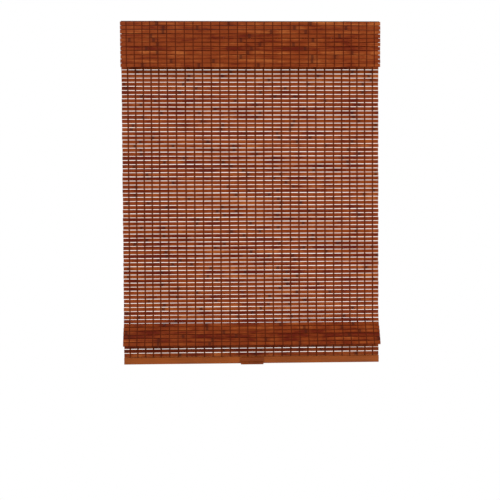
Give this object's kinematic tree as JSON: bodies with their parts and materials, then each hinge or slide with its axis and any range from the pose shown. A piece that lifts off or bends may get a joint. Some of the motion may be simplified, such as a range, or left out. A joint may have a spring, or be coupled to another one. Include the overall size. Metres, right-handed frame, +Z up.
{
  "type": "bamboo roman shade",
  "caption": "Cordless roman shade of flat bamboo slats woven on warp threads, with a valance, one bottom fold, a wooden bottom rail with a pull handle, and a spring lift in a steel headrail.",
  "frame": {"origin": "middle of the four bracket screw holes, on the face that meets the window head", "axes": "+X to the right as seen from the room, +Y towards the window, +Z up"},
  "size_m": [0.864, 0.063, 1.1498],
  "materials": {
    "bamboo": "satin stain over split bamboo",
    "hem_wood": "satin stain",
    "handle_wood": "satin stain",
    "brown_steel": "satin paint",
    "zinc_steel": "zinc plated",
    "spring_steel": "oiled",
    "ivory_plastic": "matte",
    "brown_plastic": "matte",
    "brown_tape": "woven tape",
    "brown_cord": "braided cord"
  },
  "bodies": {
    "headrail": {"headrail": "brown_steel", "end_cap_left": "brown_plastic", "end_cap_right": "brown_plastic", "bracket_left": "zinc_steel", "bracket_right": "zinc_steel", "hanging_batten": "hem_wood", "batten_screws": "zinc_steel", "panel_staples": "zinc_steel", "shade_panel": "bamboo", "headrail_loop_tape": "brown_tape", "valance_hook_tape": "brown_tape", "valance": "bamboo", "drum_cradle_left": "ivory_plastic", "drum_cradle_right": "ivory_plastic", "motor_case": "brown_plastic", "motor_cover": "ivory_plastic", "motor_spring": "spring_steel", "lift_cord_left": "brown_cord", "lift_cord_right": "brown_cord"},
    "bottom_rail": {"bottom_fold": "bamboo", "tail_rings": "brown_plastic", "hem_bar_front": "hem_wood", "hem_bar_back": "hem_wood", "hem_screws": "zinc_steel", "pull_handle": "handle_wood", "handle_screws": "zinc_steel", "cord_anchors": "brown_plastic"},
    "lift_shaft": {"lift_shaft": "spring_steel", "cord_drum_left": "ivory_plastic", "cord_drum_right": "ivory_plastic", "output_drum": "ivory_plastic"},
    "storage_drum": {"storage_drum": "ivory_plastic"},
    "ring_row_1": {"ring_row_1": "brown_plastic"},
    "ring_row_2": {"ring_row_2": "brown_plastic"},
    "ring_row_3": {"ring_row_3": "brown_plastic"},
    "ring_row_4": {"ring_row_4": "brown_plastic"},
    "ring_row_5": {"ring_row_5": "brown_plastic"}
  },
  "joints": [
    {"name": "shade_lift", "type": "slide", "parent": "headrail", "child": "bottom_rail", "axis": [0, 0, 1], "range_m": [0, 0.81], "deforming": ["shade_panel", "lift_cord_left", "lift_cord_right"]},
    {"name": "shaft_turn", "type": "hinge", "parent": "headrail", "child": "lift_shaft", "pos_m": [0, 0.0093, -0.024], "axis": [1, 0, 0], "range_deg": [0, 4450]},
    {"name": "storage_turn", "type": "hinge", "parent": "headrail", "child": "storage_drum", "pos_m": [0, -0.0132, -0.024], "axis": [1, 0, 0], "range_deg": [-5280, 0]},
    {"name": "ring_row_1_rise", "type": "slide", "parent": "headrail", "child": "ring_row_1", "axis": [0, 0, 1], "range_m": [0, 0.80463]},
    {"name": "ring_row_2_rise", "type": "slide", "parent": "headrail", "child": "ring_row_2", "axis": [0, 0, 1], "range_m": [0, 0.65202]},
    {"name": "ring_row_3_rise", "type": "slide", "parent": "headrail", "child": "ring_row_3", "axis": [0, 0, 1], "range_m": [0, 0.49941]},
    {"name": "ring_row_4_rise", "type": "slide", "parent": "headrail", "child": "ring_row_4", "axis": [0, 0, 1], "range_m": [0, 0.3468]},
    {"name": "ring_row_5_rise", "type": "slide", "parent": "headrail", "child": "ring_row_5", "axis": [0, 0, 1], "range_m": [0, 0.1942]}
  ],
  "couplings": [
    {"joint": "shaft_turn", "follows": "shade_lift", "rad_per_m": 93.458},
    {"joint": "storage_turn", "follows": "shade_lift", "rad_per_m": -110.67},
    {"joint": "ring_row_1_rise", "follows": "shade_lift", "ratio": 0.99275},
    {"joint": "ring_row_2_rise", "follows": "shade_lift", "ratio": 0.80435},
    {"joint": "ring_row_3_rise", "follows": "shade_lift", "ratio": 0.61594},
    {"joint": "ring_row_4_rise", "follows": "shade_lift", "ratio": 0.42754},
    {"joint": "ring_row_5_rise", "follows": "shade_lift", "ratio": 0.23913}
  ]
}
